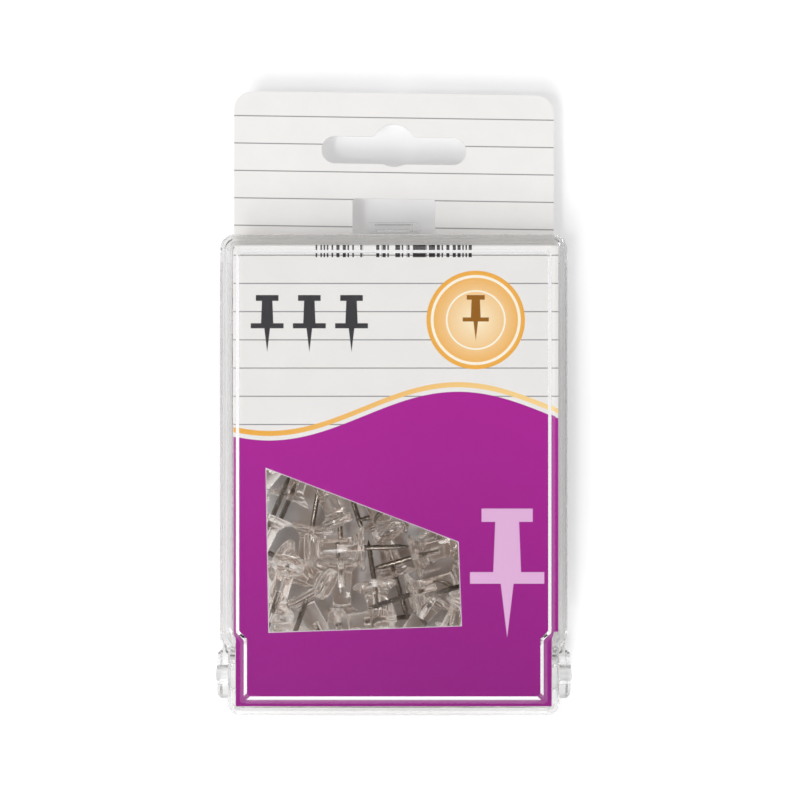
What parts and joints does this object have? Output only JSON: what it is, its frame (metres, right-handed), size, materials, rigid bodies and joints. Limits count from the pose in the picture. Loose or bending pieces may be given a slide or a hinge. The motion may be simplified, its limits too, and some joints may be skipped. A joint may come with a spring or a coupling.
{
  "type": "push pin hang pack",
  "caption": "Clear hinged retail case with a printed hang card inside, a hang slot in its header and loose clear push pins with steel needles in the tray.",
  "frame": {"origin": "middle of the case plan (lid outline), on the back face that the pack lies on", "axes": "+X to the right as seen from the front, +Y towards the hang card's header, +Z out of the front"},
  "size_m": [0.0786, 0.1351, 0.0254],
  "materials": {
    "case_plastic": "clear moulded polystyrene",
    "card_board": "printed coated card",
    "pin_plastic": "clear moulded plastic",
    "needle_steel": "drawn steel"
  },
  "bodies": {
    "base": {"case_base": "case_plastic", "pin_heads_01": "pin_plastic", "pin_heads_02": "pin_plastic", "pin_heads_03": "pin_plastic", "pin_heads_04": "pin_plastic", "pin_heads_05": "pin_plastic", "pin_heads_06": "pin_plastic", "pin_heads_07": "pin_plastic", "pin_heads_08": "pin_plastic", "pin_heads_09": "pin_plastic", "pin_heads_10": "pin_plastic", "pin_needles_01": "needle_steel", "pin_needles_02": "needle_steel", "pin_needles_03": "needle_steel", "pin_needles_04": "needle_steel", "pin_needles_05": "needle_steel", "pin_needles_06": "needle_steel", "pin_needles_07": "needle_steel", "pin_needles_08": "needle_steel", "pin_needles_09": "needle_steel", "pin_needles_10": "needle_steel"},
    "lid": {"case_lid": "case_plastic", "hang_card": "card_board"}
  },
  "joints": [
    {"name": "lid_hinge", "type": "hinge", "parent": "base", "child": "lid", "pos_m": [0, -0.0448, 0.0076], "axis": [1, 0, 0], "range_deg": [0, 90]}
  ]
}
